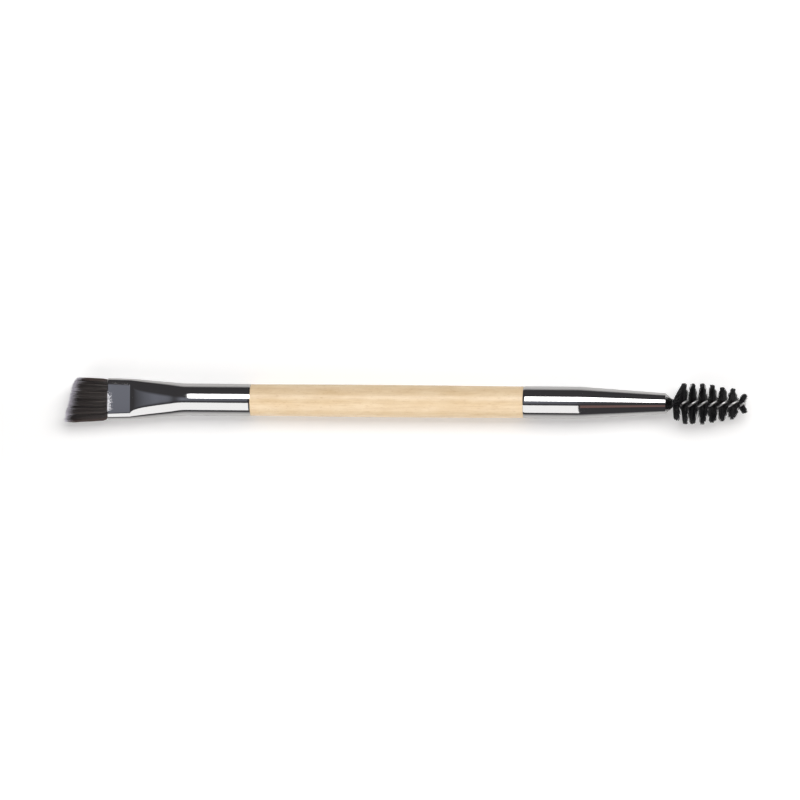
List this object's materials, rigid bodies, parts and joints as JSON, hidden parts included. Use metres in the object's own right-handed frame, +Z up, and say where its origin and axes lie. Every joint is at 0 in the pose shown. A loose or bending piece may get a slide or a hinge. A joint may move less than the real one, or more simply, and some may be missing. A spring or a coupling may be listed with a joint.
{
  "type": "eyebrow brush",
  "caption": "Double-ended eyebrow brush: slanted flat hair tuft in a pressed ferrule, turned wooden handle, and a twisted-wire spiral brush in a tapered ferrule.",
  "frame": {"origin": "middle of the brush's length and width, on the table that it lies on", "axes": "+X along the handle from the hair tuft to the spiral brush, +Z up out of the table, square to the flat of the tuft, +Y towards the short side of the slanted tuft"},
  "size_m": [0.1548, 0.0103, 0.0089],
  "materials": {
    "pale_wood": "smooth sanded birch, thin clear lacquer",
    "plated_metal": "mirror bright plating",
    "tuft_hair": "fine dark fibres with pale lilac tips",
    "resin": "clear amber hard resin",
    "steel_wire": "bright drawn wire",
    "black_nylon": "black nylon fibres with a slight sheen"
  },
  "bodies": {
    "root": {"handle": "pale_wood", "flat_ferrule": "plated_metal", "hair_tuft": "tuft_hair", "tuft_glue": "resin", "cone_ferrule": "plated_metal", "twisted_wire": "steel_wire", "spiral_bristles": "black_nylon", "wire_glue": "resin"}
  },
  "joints": []
}
